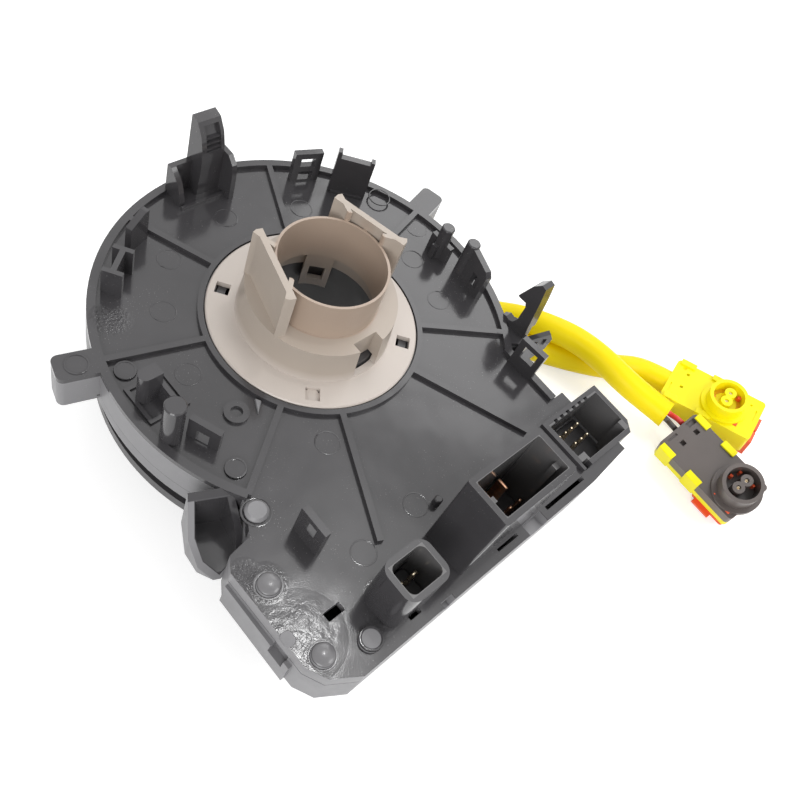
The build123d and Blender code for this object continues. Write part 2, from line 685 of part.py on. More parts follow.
def hub_sleeve():
    """The cancelling cam: sleeve, collar, flange, two pockets and two snap legs."""
    profile = [
        (sleeve_bore_r, collar_top - collar_roof_t),
        (collar_bore_r, collar_top - collar_roof_t),
        (collar_bore_r, shaft_top + shaft_clear),
        (shaft_bore_r + shaft_wall + shaft_clear, shaft_top + shaft_clear),
        (shaft_bore_r + shaft_wall + shaft_clear, flange_under),
        (flange_r, flange_under),
        (flange_r, flange_top - 0.3),
        (flange_r - 0.3, flange_top),
        (collar_foot_r, flange_top),
        (collar_top_r, collar_top),
        (sleeve_r, collar_top),
        (sleeve_r, sleeve_top),
        (sleeve_bore_r, sleeve_top),
    ]
    body = revolve(Plane.XZ * make_face(Polyline(*profile, close=True)), Axis.Z)
    body -= box(-notch_w / 2, notch_w / 2, -collar_foot_r - 1, -notch_r, 0.5, collar_top + 1)
    for angle in (cam_lug_angle, 180 - cam_lug_angle):
        body += turned(cam_lug(), angle)
    body -= disc(sleeve_bore_r, -10, sleeve_top + 8)
    body -= disc(sleeve_r, sleeve_top, cam_lug_top + 1)
    half = flange_slot / 2
    for angle in (50, -50, 130, -130):
        slot = box(flange_slot_r - half, flange_slot_r + half, -half, half, flange_under - 1, flange_top + 1)
        body -= turned(slot, angle)
    for angle in (50, 230):
        body += turned(snap_leg(), angle)
    return body


def cam_lug():
    """One open pocket of the cam: a flat outer wall, two end walls and a middle rib."""
    t = cam_lug_wall
    base = collar_top - 0.5
    body = box(cam_lug_reach - t, cam_lug_reach, -cam_lug_half, cam_lug_half, base, cam_lug_top)
    # The end walls fold back from the outer wall's ends to the sleeve
    corner = Vector(cam_lug_reach, cam_lug_half)
    foot = Vector(*on_circle(cam_lug_foot, sleeve_r - 0.3))
    along = (foot - corner).normalized()
    across = Vector(-along.Y, along.X) * 1.1
    for side in (-1, 1):
        points = [(p.X, side * p.Y) for p in (corner, foot, foot + across, corner + across)]
        body += prism(points, base, cam_lug_top)
    body += box(sleeve_r - 0.6, cam_lug_reach - t + 0.1, -0.5, 0.5, base, sleeve_top)
    return body


def snap_leg():
    """One leg that hangs through the bore, with a barb and a window."""
    r_out = collar_bore_r
    top = collar_top - collar_roof_t
    leg = ring(r_out, r_out - leg_t, -leg_drop, top + 0.2)
    leg &= box(5, 30, -leg_w / 2, leg_w / 2, -leg_drop - 1, top + 1)
    reach = r_out + barb_reach
    barb = [(r_out - 0.4, -leg_drop), (reach, barb_top - 0.4), (reach, barb_top), (r_out - 0.4, barb_top)]
    hook = extrude(Plane.XZ * make_face(Polyline(*barb, close=True)), amount=2.6, both=True)
    window = box(5, r_out + 0.01, -1.95, 1.95, -1.8, shaft_top + shaft_clear)
    return leg + hook - window


def tube(points, diameter, name):
    """A round lead along straight runs with tangent arcs as large as the runs allow."""
    corners = [Vector(*p) for p in points]
    runs = [b - a for a, b in zip(corners, corners[1:])]
    radii = []
    for a, b in zip(runs, runs[1:]):
        radii.append(0.45 * min(a.length, b.length) / tan(radians(a.get_angle(b)) / 2))
    path = FilletPolyline(*corners, radius=radii)
    section = Plane(origin=corners[0], z_dir=runs[0]) * Circle(diameter / 2)
    solid = sweep(section, path=path)
    share = solid.volume / (pi * diameter ** 2 / 4 * path.length)
    print(name, "length", round(path.length, 1), "volume share", round(share, 4),
          "radii in diameters", [round(r / diameter, 1) for r in radii])
    return solid


def lead_exit(y):
    """The two points that bring a lead straight out of its seat in the cable box."""
    start = cable_box[1] - lead_seat
    points = []
    for x in (start, start + 8.0):
        place = (Rot(0, 0, cable_box_angle) * Pos(x, y, lead_z)).position
        points.append((place.X, place.Y, place.Z))
    return points


cable_one_route = lead_exit(lead_y) + [
    (51.6, -3.8, -28.2),
    (59.7, -8.1, -27.6),
    (66.6, -14.2, -25.9),
    (72.1, -21.6, -23.3),
    (75.8, -30.0, -20.9),
    (79.1, -38.1, -20.0),
    (81.0, -47.0, -20.1),
    (83.1, -56.4, -21.9),
    (86.0, -63.6, -23.6),
    (87.9, -70.0, -24.3),
]
cable_two_route = lead_exit(-lead_y) + [
    (50.1, -12.9, -28.3),
    (58.2, -16.9, -28.5),
    (65.3, -22.4, -28.55),
    (72.9, -31.1, -28.5),
    (81.8, -41.2, -28.55),
    (90.6, -49.2, -28.5),
    (96.6, -53.2, -28.6),
    (99.88, -57.93, -28.38),
    (101.23, -63.16, -27.33),
]
wire_side = 1.4
wire_entry = (2.5, -4.0)
black_frame = Plane(origin=(82.6, -90.4, -19.8), x_dir=(-0.064, -0.997, 0.053), z_dir=(-0.400, 0.074, 0.914))
yellow_frame = Plane(origin=(103.9, -76.4, -20.7), x_dir=(0.245, -0.951, 0.191), z_dir=(-0.220, 0.137, 0.966))


def lock_slots():
    """The two slots that the lock's legs slide in."""
    slots = []
    for y in (-plug_w / 2 + 1.4, plug_w / 2 - 1.4):
        slots.append(box(lock_x[0] - lock_gap, lock_x[1] + lock_gap, y - 0.6 - lock_gap, y + 0.6 + lock_gap,
                         -shell_t - cover_t - 1, -shell_t + 3.0))
    return slots


def plug_housing(barrel_x, barrel_h):
    """A plug's upper shell: body, barrel with its contact tower, and slots for the lock's legs."""
    half_l = plug_len / 2
    half_w = plug_w / 2
    body = rounded_box((-half_l, half_l, -half_w, half_w), -shell_t, 0, 1.2)
    body -= box(-half_l + 1.5, -half_l + 8.0, -half_w + 4.0, half_w - 4.0, -1.2, 1)
    body += disc(barrel_base_r, -1, 1.0, barrel_x, 0) & box(-half_l, half_l + 3, -20, 20, -2, 2)
    body += disc(barrel_r, 0, barrel_h, barrel_x, 0)
    body -= disc(barrel_r - barrel_wall, 0.8, barrel_h + 1, barrel_x, 0)
    for y in (-1.6, 1.6):
        body += disc(1.75, 0.5, barrel_h - 0.6, barrel_x, y)
    for y in (-1.6, 1.6):
        body -= disc(0.65, -2.4, barrel_h, barrel_x, y)
    for slot in lock_slots():
        body -= slot
    return body


def plug_cover(barrel_x):
    """A plug's lower shell with four tabs that grip the upper one."""
    half_l = plug_len / 2
    half_w = plug_w / 2
    body = rounded_box((-half_l, half_l, -half_w, half_w), -shell_t - cover_t, -shell_t, 1.2)
    for x in (-8.6, -1.6):
        for side in (-1, 1):
            outer = side * (half_w + tab_wrap)
            for inner, low in ((side * half_w, -shell_t - cover_t + 0.6), (side * (half_w - 1.2), 0)):
                body += box(x, x + 4.2, min(inner, outer), max(inner, outer), low, 0.9)
    body -= disc(barrel_base_r + 0.1, -shell_t, 2, barrel_x, 0)
    for slot in lock_slots():
        body -= slot
    return body


def plug_lock():
    """The sliding lock: a slab under the plug with two legs that rise into its slots."""
    low = -shell_t - cover_t - lock_travel - 0.1
    half_w = plug_w / 2 + 1.0
    body = rounded_box((lock_x[0] - 1.5, lock_x[1] + 1.5, -half_w, half_w), low - lock_t, low, 1.0)
    for y in (-plug_w / 2 + 1.4, plug_w / 2 - 1.4):
        body += box(lock_x[0], lock_x[1], y - 0.6, y + 0.6, low - 0.3, -shell_t + 0.8)
    return body


def plug_contacts(barrel_x, barrel_h):
    """The two contact sleeves inside the tower."""
    return Compound([ring(0.6, 0.3, -2.0, barrel_h - 1.2, barrel_x, y) for y in (-1.6, 1.6)])


def wire(side, name):
    """One of the two cores between the end of a lead and the black plug."""
    end = Vector(*cable_one_route[-1])
    along = (end - Vector(*cable_one_route[-2])).normalized()
    across = Vector(0, 0, 1).cross(along).normalized()
    start = end + across * side
    entry = black_frame.from_local_coords(Vector(-plug_len / 2, wire_entry[0] + side, wire_entry[1]))
    points = [start, start + along * 2.2, entry - black_frame.x_dir * 2.2, entry]
    return tube([(p.X, p.Y, p.Z) for p in points], wire_d, name)


PARTS = {
    "stator_cover": stator_cover(),
    "stator_case": stator_case(),
    "terminal_carrier": terminal_carrier(),
    "two_pin_terminals": Compound(two_pins()),
    "main_terminals": Compound(main_pins()),
    "twelve_pin_terminals": Compound(twelve_pins()),
    "ribbon_cable": ribbon_cable(),
    "ribbon_outer_block": ribbon_outer_block(),
    "ribbon_inner_block": ribbon_inner_block(),
    "upper_slip_sheet": ring(chamber_r - 0.4, cover_bore_r + 0.4, under_z - sheet_t, under_z),
    "lower_slip_sheet": ring(guard_r - guard_wall - 0.3, drum_r + inner_block_t + 0.35,
                             rotor_top, rotor_top + sheet_t),
    "rotor_disc": rotor_disc(),
    "hub_sleeve": hub_sleeve(),
    "lead_frame": lead_frame(),
    "cable_cover": cable_cover(),
    "switch_terminals": Compound(switch_pins()),
    "cable_one": tube(cable_one_route, lead_d, "cable_one"),
    "cable_two": tube(cable_two_route, lead_d, "cable_two"),
    "red_wire": wire(wire_side, "red_wire"),
    "black_wire": wire(-wire_side, "black_wire"),
}
for colour, place, barrel in (("black", black_frame, black_barrel), ("yellow", yellow_frame, yellow_barrel)):
    PARTS[f"{colour}_plug_housing"] = place * plug_housing(*barrel)
    PARTS[f"{colour}_plug_cover"] = place * plug_cover(barrel[0])
    PARTS[f"{colour}_plug_lock"] = place * plug_lock()
    PARTS[f"{colour}_plug_contacts"] = place * plug_contacts(*barrel)

for name, shape in PARTS.items():
    export_step(shape, f"parts/{name}.step")
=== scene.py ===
import math

import bmesh
import bpy
from mathutils import Matrix, Vector
from mathutils.bvhtree import BVHTree


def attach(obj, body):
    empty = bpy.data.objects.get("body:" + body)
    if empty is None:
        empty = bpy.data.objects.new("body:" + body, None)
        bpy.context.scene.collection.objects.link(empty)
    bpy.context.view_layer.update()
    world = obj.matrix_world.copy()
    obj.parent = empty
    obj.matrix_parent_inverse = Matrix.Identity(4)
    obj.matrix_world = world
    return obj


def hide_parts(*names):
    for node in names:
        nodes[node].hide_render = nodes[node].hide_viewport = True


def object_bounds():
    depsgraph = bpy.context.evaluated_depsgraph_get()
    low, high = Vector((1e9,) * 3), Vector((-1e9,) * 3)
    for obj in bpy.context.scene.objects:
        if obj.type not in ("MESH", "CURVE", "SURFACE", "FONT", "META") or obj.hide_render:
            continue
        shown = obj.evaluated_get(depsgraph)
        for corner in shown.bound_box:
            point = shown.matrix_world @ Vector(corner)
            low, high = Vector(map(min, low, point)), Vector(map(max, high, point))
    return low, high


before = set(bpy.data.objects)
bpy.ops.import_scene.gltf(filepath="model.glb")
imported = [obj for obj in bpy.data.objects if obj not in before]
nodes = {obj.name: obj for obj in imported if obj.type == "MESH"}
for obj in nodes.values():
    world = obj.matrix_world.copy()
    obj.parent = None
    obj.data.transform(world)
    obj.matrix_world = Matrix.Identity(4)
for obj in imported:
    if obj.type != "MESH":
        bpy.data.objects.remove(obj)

# Sizes are in metres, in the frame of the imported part: the origin is on the steering axis, level
# with the top of the cover's rim, +Z points up the column and the sockets run along X on the -Y side.
MM = 0.001
cad_low, cad_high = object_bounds()
table_z = cad_low.z

# Heights of the cover's floor and of the top of its frosted sides, which are painted lighter as a sheen
floor_z = -1.2 * MM
skirt_top = -1.5 * MM
skirt_fade = 0.2 * MM

# Painted shade: the dark line of the gap below the cover's skirt, where it meets the case
seam_heights = (-9.3, -8.78)
seam_radii = (51.0, 52.6)
seam_shade_colour = (0.02, 0.02, 0.02)

# Colours of the cover's sides, lighter as a painted sheen of the white floor, of its sockets' rooms,
# lighter as painted light in their shade, and of the dust on it
side_sheen_grey = (0.2, 0.197, 0.204)
side_gloss = 0.28
room_lifted_shade = (0.12, 0.117, 0.118)
dust_grey = (0.35, 0.34, 0.34)

# Where the sides aren't frosted nor given the painted sheen: the sockets as (x, x, y, y) and the corner
# pocket's outer wall, in mm
socket_zone = (-36.0, 50.9, -69.2, -50.0)
# The sockets' rooms as (x, x, y, y) in mm, painted lighter to lift their shade
socket_rooms = (
    (-13.95, 5.85, -68.45, -59.25), (-34.95, -25.65, -68.25, -60.75), (30.8, 50.1, -68.1, -55.5),
)
pocket_edge = (
    (-43.4, -26.0), (-51.9, -22.2), (-55.4, -28.6), (-55.8, -33.4), (-53.2, -38.4), (-47.2, -37.2),
)
pocket_wall = 1.35
pocket_span = (-56.0, -43.0)

# Rough places on the plate: where, how far they reach and how deep they are, in mm
rough_spots = (
    ((-41.1, 22.3, -1.2), 5.0, 0.35), ((-52.2, -42.5, -1.2), 3.6, 0.3), ((-50.0, -46.5, -1.2), 4.6, 0.2),
    ((-31.5, -62.5, -1.2), 4.5, 0.2), ((-36.0, -66.0, -1.2), 4.0, 0.12),
)
near_core = 0.45
haze_at = (-51.5, -59.0, -1.2)
haze_reach = 10.0
haze_depth = 0.14

# Painted shade on the hub's collar and its thin sleeve: darker, warmer colours, and where they fade in
collar_shade_cream = (0.43, 0.37, 0.315)
collar_heights = (0.5 * MM, 3.0 * MM)
sleeve_shade_cream = (0.4, 0.31, 0.245)
sleeve_radii = (13.5 * MM, 13.9 * MM)
sleeve_heights = (2.0 * MM, 11.0 * MM)

# Scales of the noise: cloudy colour, gloss, waves and grain of a moulding, and a metal's drawn grain
cloud_scale = 60.0
gloss_scale = 240.0
wave_scale = 90.0
grain_scale = 2600.0
drawn_scale = 900.0

# Scales of the noise on the cover: dust and its patches, crumbs of rough places, haze and its mottle
dust_scale = 2900.0
patch_scale = 70.0
crumb_scale = 1500.0
haze_scale = 330.0
mottle_scale = 420.0

# Reach that welds split corners, and the angles in degrees that are flattened and broken
weld_reach = 0.002 * MM
flat_angle = 0.6
edge_angle = 32

# The leads' routes, as in the part's source
lead_d = 8.0 * MM
cable_one_route = (
    (34.819, -0.147, -28.1), (42.741, -1.261, -28.1), (51.6, -3.8, -28.2), (59.7, -8.1, -27.6),
    (66.6, -14.2, -25.9), (72.1, -21.6, -23.3), (75.8, -30.0, -20.9), (79.1, -38.1, -20.0),
    (81.0, -47.0, -20.1), (83.1, -56.4, -21.9), (86.0, -63.6, -23.6), (87.9, -70.0, -24.3),
)
cable_two_route = (
    (33.511, -9.456, -28.1), (41.433, -10.569, -28.1), (50.1, -12.9, -28.3), (58.2, -16.9, -28.5),
    (65.3, -22.4, -28.55), (72.9, -31.1, -28.5), (81.8, -41.2, -28.55), (90.6, -49.2, -28.5),
    (96.6, -53.2, -28.6), (99.88, -57.93, -28.38), (101.23, -63.16, -27.33),
)
cable_one_length = 96.9 * MM
cable_two_length = 90.1 * MM

# Turns a profile given as (across, up) into a prism along a plug
ahead_up = Matrix(((0, 0, 1, 0), (1, 0, 0, 0), (0, 1, 0, 0), (0, 0, 0, 1)))

# What both plugs share, in mm of a plug's frame: the top's recess that is filled, shells, lock and tabs
recess_span = (-13.1, -6.4)
recess_half = 3.6
recess_heights = (-1.3, -0.01)
shell_outline = (-14.5, 14.5, -7.5, 7.5, 1.2)
shell_heights = (-7.8, -4.8)
lock_outline = (2.0, 14.0, -7.0, 7.0, 0.8)
lock_heights = (-10.9, -9.7)
arm_span = (3.5, 13.5)
arm_middle = 6.1
arm_half = 0.6
arm_heights = (-10.0, -4.0)
tab_starts = (-13.6, -3.1)
tab_length = 4.9
key_ratio = 0.4
tab_hook = ((7.4, -7.2), (8.1, -7.2), (8.1, 0.5), (7.9, 0.7), (6.0, 0.7), (6.0, -0.1), (7.4, -0.1))

# The painted-shade ring on the yellow plug's barrel floor: its place along the plug, height, radii and
# thickness, in mm
barrel_x = 3.4
barrel_z = 0.78
barrel_radii = (3.5, 4.65)
barrel_depth = 0.12

# The plugs: frame (origin, way to the nose, way up) as in the part's source, and in mm of that frame
# holes (x, x, y, y, depth), the lock's ears (x, x, y, y, top) and keys (x, y, size, low, high)
black_plug = {
    "frame": ((82.6, -90.4, -19.8), (-0.064, -0.997, 0.053), (-0.400, 0.074, 0.914)),
    "holes": ((-13.9, -12.3, 2.9, 5.9, 1.0), (-10.9, -9.4, -2.5, -1.0, 1.6), (-10.9, -9.4, 2.9, 4.4, 1.6),
              (-13.6, -12.9, -4.6, -1.2, 0.5)),
    "ears": ((3.4, 9.8, -8.4, -6.9, -9.7),),
    "keys": ((6.4, 3.3, 0.9, 0.7, 3.4), (5.5, 0.8, 1.0, 0.7, 3.0), (11.4, 3.4, 0.9, 0.7, 3.0),
             (10.6, -3.5, 0.8, 0.7, 2.4), (12.2, -6.3, 1.3, -0.8, 0.25), (6.3, -5.9, 0.5, -0.5, 1.2)),
}
yellow_plug = {
    "frame": ((103.9, -76.4, -20.7), (0.245, -0.951, 0.191), (-0.220, 0.137, 0.966)),
    "holes": ((-10.3, -9.4, 3.2, 4.1, 1.4), (-10.4, -9.5, -2.0, -1.1, 1.4), (-12.3, -11.1, 4.6, 5.9, 0.5),
              (-13.3, -12.9, -5.2, -1.8, 0.4), (12.6, 13.1, -1.0, 3.4, 0.5), (10.4, 11.1, 4.0, 4.7, 0.8)),
    "ears": ((13.2, 15.8, -5.6, -1.5, -3.4), (13.2, 15.8, -0.6, 3.9, -3.4)),
    "keys": ((8.6, -4.6, 1.8, -0.6, 0.3), (6.4, 2.9, 1.2, 0.7, 2.6), (-0.4, -0.8, 1.1, 0.7, 2.4)),
}

# The first lead's open end, in mm: its jacket's profile (radius, along) and the dark disc in it, painted
# as the hollow's shade
jacket_profile = (
    (3.15, -0.8), (3.85, -0.8), (4.02, -0.5), (4.02, 1.0), (3.95, 1.1), (3.25, 1.1), (3.15, 1.0),
)
jacket_lip = 0.9
jacket_slant = 0.24
shade_disc_r = 3.2
shade_disc_depth = 0.12

# Marks on the plate, in mm: ejector pins, ringed bosses (x, y, z, radius) and stake heads
ejector_r = 2.9
ejector_ridge = (0.22, 0.08, -0.1, 0.13)
boss_ridge = (0.28, 0.16, -0.3, 0.22)
ejector_points = (
    (20.2, 29.9), (-19.0, -28.6), (-12.1, -51.6), (-34.7, 2.0), (0.3, 36.0), (42.0, 22.7),
    (45.2, 9.8), (36.4, 2.1), (33.3, -11.8), (-19.8, 31.2), (-29.7, 19.0), (-29.3, -53.3),
)
mark_rings = (
    (-45.8, 9.5, -0.75, 2.2), (-40.0, -22.7, -0.75, 2.2), (-53.8, 15.4, 0.0, 2.5),
    (-40.4, -68.1, -0.15, 2.35), (-42.3, -33.1, -1.2, 3.2),
)
stake_domes = ((-50.0, -47.2), (-50.1, -64.7))
stake_top = -0.1
stake_collar = ((2.55, -0.2), (3.2, -0.2), (3.0, 0.2), (2.7, 0.2))
dome_sink = 0.05
dome_r = 2.5
dome_h = 0.75

# Small solids on the plate and the hub's flange, in mm
wedge_outline = ((-27.9, -14.6), (-25.2, -12.3), (-26.1, -10.9))
wedge_heights = (-2.0, -0.5)
ledge_zone = (-16.5, -12.7, -19.2, -15.4)
ledge_heights = (-1.35, -0.65)
cap_outline = (-55.0, -52.2, -59.6, -56.3, 1.1)
cap_heights = (-1.6, -0.75)

# Camera, fitted to the photograph's circles and edges
view_azimuth = 293.3986
view_elevation = 53.403
view_distance = 205.306 * MM
view_target = Vector((2.532 * MM, -29.559 * MM, 0.0))
view_roll = 29.4166
focal_px = 871.0
frame_px = 800.0
sensor_mm = 36.0

# Soft lights by the point of the plate (x, y in mm) that mirrors them, size in metres and brightness
mirror_reach = 0.9
mirrored_boxes = (
    ("sheen_box", 2.5, -29.6, 0.95, 0.7), ("right_box", 42.0, -2.0, 0.38, 2.1),
    ("block_box", -36.0, -58.0, 0.22, 1.1), ("glare_box", -53.6, -60.4, 0.06, 52.0),
)

# Soft lights round the object by azimuth, elevation, distance, size in metres and brightness
sky_boxes = (("front_box", 300.0, 26.0, 1.1, 0.6, 5.5), ("far_box", 30.0, 45.0, 1.2, 0.5, 5.0))

# The white floor and the pale world, and how much of its own light each gives
floor_half = 6.0
floor_gap = 0.05 * MM
floor_white = 0.72
floor_glow = 0.55
sky_strength = 0.58


def node_tree(name):
    """A new node material with its Principled shader."""
    mat = bpy.data.materials.new(name)
    mat.use_nodes = True
    tree = mat.node_tree
    shader = tree.nodes["Principled BSDF"]
    return mat, tree, shader


def noise(tree, coords, scale, detail=4.0, roughness=0.55):
    """A noise texture on the object's own coordinates."""
    node = tree.nodes.new("ShaderNodeTexNoise")
    node.inputs["Scale"].default_value = scale
    node.inputs["Detail"].default_value = detail
    node.inputs["Roughness"].default_value = roughness
    tree.links.new(coords, node.inputs["Vector"])
    return node.outputs["Fac"]


def remap(tree, value, low, high, from_low=0.3, from_high=0.7):
    """A value stretched between two new limits."""
    node = tree.nodes.new("ShaderNodeMapRange")
    node.inputs["From Min"].default_value = from_low
    node.inputs["From Max"].default_value = from_high
    node.inputs["To Min"].default_value = low
    node.inputs["To Max"].default_value = high
    tree.links.new(value, node.inputs["Value"])
    return node.outputs["Result"]


def mixed_colour(tree, factor, first, second):
    """Two colours mixed by a factor, each given as a colour or as a socket."""
    node = tree.nodes.new("ShaderNodeMix")
    node.data_type = "RGBA"
    tree.links.new(factor, node.inputs[0])
    for socket, colour in ((node.inputs[6], first), (node.inputs[7], second)):
        if isinstance(colour, tuple):
            socket.default_value = (*colour, 1.0)
        else:
            tree.links.new(colour, socket)
    return node.outputs[2]


def calc(tree, operation, first, second):
    """One maths step on sockets or numbers."""
    node = tree.nodes.new("ShaderNodeMath")
    node.operation = operation
    for socket, value in zip(node.inputs, (first, second)):
        if isinstance(value, (int, float)):
            socket.default_value = value
        else:
            tree.links.new(value, socket)
    return node.outputs["Value"]


def bump(tree, shader, heights):
    """Bumps stacked on the shader's normal, each a height socket with its depth in metres."""
    last = None
    for height, depth in heights:
        node = tree.nodes.new("ShaderNodeBump")
        node.inputs["Distance"].default_value = depth
        tree.links.new(height, node.inputs["Height"])
        if last:
            tree.links.new(last, node.inputs["Normal"])
        last = node.outputs["Normal"]
    tree.links.new(last, shader.inputs["Normal"])


def near(tree, coords, place, radius):
    """One near a point, fading to nothing at the radius; the point and radius in mm."""
    node = tree.nodes.new("ShaderNodeVectorMath")
    node.operation = "DISTANCE"
    tree.links.new(coords, node.inputs[0])
    node.inputs[1].default_value = tuple(v * MM for v in place)
    return remap(tree, node.outputs["Value"], 1.0, 0.0, radius * near_core * MM, radius * MM)


def split(tree, coords):
    """The three coordinates as sockets."""
    node = tree.nodes.new("ShaderNodeSeparateXYZ")
    tree.links.new(coords, node.inputs["Vector"])
    return node.outputs["X"], node.outputs["Y"], node.outputs["Z"]


def within(tree, value, low, high):
    """One between two limits in mm, otherwise nothing."""
    node = tree.nodes.new("ShaderNodeMath")
    node.operation = "COMPARE"
    tree.links.new(value, node.inputs[0])
    node.inputs[1].default_value = (low + high) / 2 * MM
    node.inputs[2].default_value = (high - low) / 2 * MM
    return node.outputs["Value"]


def in_zone(tree, x, y, zone):
    """One inside a plan rectangle given as (x, x, y, y) in mm."""
    x0, x1, y0, y1 = zone
    return calc(tree, "MULTIPLY", within(tree, x, x0, x1), within(tree, y, y0, y1))


def inside(tree, x, y, edge, depth):
    """One where a point lies more than a depth in mm to the left of every stretch of an edge."""
    least = 1.0
    for (x0, y0), (x1, y1) in zip(edge, edge[1:]):
        length = math.hypot(x1 - x0, y1 - y0)
        across, along = (y0 - y1) / length, (x1 - x0) / length
        reach = calc(tree, "ADD", calc(tree, "MULTIPLY", x, across), calc(tree, "MULTIPLY", y, along))
        start = (x0 * across + y0 * along) * MM
        least = calc(tree, "MINIMUM", least, calc(tree, "SUBTRACT", reach, start))
    return calc(tree, "GREATER_THAN", least, depth * MM)


def moulded(name, colour, rough, grain=0.006, wave=0.05, tint=0.12, specular=0.5, extra=None):
    """Moulded plastic with fine grain, a slow waviness and uneven gloss.

    extra may change the colour and roughness sockets and add bumps; it gets the tree, the
    coordinates, the two sockets and the list of bumps.
    """
    mat, tree, shader = node_tree(name)
    coords = tree.nodes.new("ShaderNodeTexCoord").outputs["Object"]
    cloud = noise(tree, coords, cloud_scale, 3.0)
    dark = tuple(c * (1.0 - tint) for c in colour)
    light = tuple(min(1.0, c * (1.0 + tint)) for c in colour)
    base = mixed_colour(tree, remap(tree, cloud, 0.0, 1.0), dark, light)
    gloss = remap(tree, noise(tree, coords, gloss_scale, 5.0), rough * 0.85, rough * 1.2)
    bumps = [(noise(tree, coords, wave_scale, 1.0), wave * MM),
             (noise(tree, coords, grain_scale, 2.0), grain * MM)]
    if extra:
        base, gloss = extra(tree, coords, base, gloss, bumps)
    tree.links.new(base, shader.inputs["Base Color"])
    tree.links.new(gloss, shader.inputs["Roughness"])
    shader.inputs["Specular IOR Level"].default_value = specular
    bump(tree, shader, bumps)
    return mat


def from_axis(tree, x, y):
    """The distance from the steering axis."""
    square = calc(tree, "ADD", calc(tree, "MULTIPLY", x, x), calc(tree, "MULTIPLY", y, y))
    return calc(tree, "POWER", square, 0.5)


def seam_painted_shade(tree, coords, base, gloss, bumps):
    """A dark line painted as the shade in the gap where the cover's skirt meets the case."""
    x, y, z = split(tree, coords)
    # painted shade: a dark band where the gap between skirt and case lies in shadow
    line = calc(tree, "MULTIPLY", within(tree, z, *seam_heights),
                within(tree, from_axis(tree, x, y), *seam_radii))
    return mixed_colour(tree, line, base, seam_shade_colour), gloss


def cover_dust_and_painted_light(tree, coords, base, gloss, bumps):
    """Frosted sides below the plate painted lighter as a sheen, socket rooms painted lighter in their
    shade, the painted shade of the seam, dust, and the rough spots on the polished plate.
    """
    x, y, z = split(tree, coords)
    below = remap(tree, z, 1.0, 0.0, skirt_top, skirt_top + skirt_fade)
    in_pocket = calc(tree, "MULTIPLY", within(tree, x, *pocket_span),
                     inside(tree, x, y, pocket_edge, pocket_wall))
    hidden = calc(tree, "MAXIMUM", in_zone(tree, x, y, socket_zone), in_pocket)
    side = calc(tree, "MULTIPLY", below, calc(tree, "SUBTRACT", 1.0, hidden))
    # painted sheen: the sides below the plate are lighter grey, standing in for the white floor they
    # mirror
    base = mixed_colour(tree, side, base, side_sheen_grey)
    # painted light: the sockets' rooms are lighter than the cover to lift their shade
    for room in socket_rooms:
        base = mixed_colour(tree, in_zone(tree, x, y, room), base, room_lifted_shade)
    base, gloss = seam_painted_shade(tree, coords, base, gloss, bumps)
    gloss = calc(tree, "ADD", gloss, calc(tree, "MULTIPLY", side, side_gloss))
    dust = remap(tree, noise(tree, coords, dust_scale, 1.0), 0.0, 0.5, 0.7, 0.76)
    patches = remap(tree, noise(tree, coords, patch_scale, 2.0), 0.0, 1.0, 0.45, 0.7)
    dust = calc(tree, "MULTIPLY", dust, patches)
    base = mixed_colour(tree, dust, base, dust_grey)
    crumbs = noise(tree, coords, crumb_scale, 3.0)
    for place, radius, depth in rough_spots:
        spot = near(tree, coords, place, radius)
        bumps.append((calc(tree, "MULTIPLY", crumbs, spot), depth * MM))
    haze = near(tree, coords, haze_at, haze_reach)
    mottle = remap(tree, noise(tree, coords, mottle_scale, 4.0), 0.0, 0.07)
    bumps.append((calc(tree, "MULTIPLY", noise(tree, coords, haze_scale, 4.0), haze), haze_depth * MM))
    gloss = calc(tree, "ADD", gloss, calc(tree, "MULTIPLY", haze, mottle))
    return base, gloss


def hub_painted_shade(tree, coords, base, gloss, bumps):
    """Painted shade: the collar darker and the thin sleeve darker and warmer than the flange, for their
    shade and warm bounce.
    """
    x, y, z = split(tree, coords)
    radius = from_axis(tree, x, y)
    # painted shade: darker, warmer cream on the sleeve and darker cream on the collar, for their shade and
    # warm bounce
    thin = calc(tree, "MULTIPLY", remap(tree, radius, 1.0, 0.0, *sleeve_radii),
                remap(tree, z, 0.0, 1.0, *sleeve_heights))
    high = remap(tree, z, 0.0, 1.0, *collar_heights)
    base = mixed_colour(tree, high, base, collar_shade_cream)
    return mixed_colour(tree, thin, base, sleeve_shade_cream), gloss


def metal(name, colour, rough):
    """Plated contact metal with a drawn grain."""
    mat, tree, shader = node_tree(name)
    coords = tree.nodes.new("ShaderNodeTexCoord").outputs["Object"]
    grain = noise(tree, coords, drawn_scale, 4.0)
    shader.inputs["Metallic"].default_value = 1.0
    dark = tuple(c * 0.8 for c in colour)
    base = mixed_colour(tree, remap(tree, grain, 0.0, 1.0), dark, colour)
    tree.links.new(base, shader.inputs["Base Color"])
    tree.links.new(remap(tree, grain, rough * 0.8, rough * 1.3), shader.inputs["Roughness"])
    bump(tree, shader, ((grain, 0.01 * MM),))
    return mat


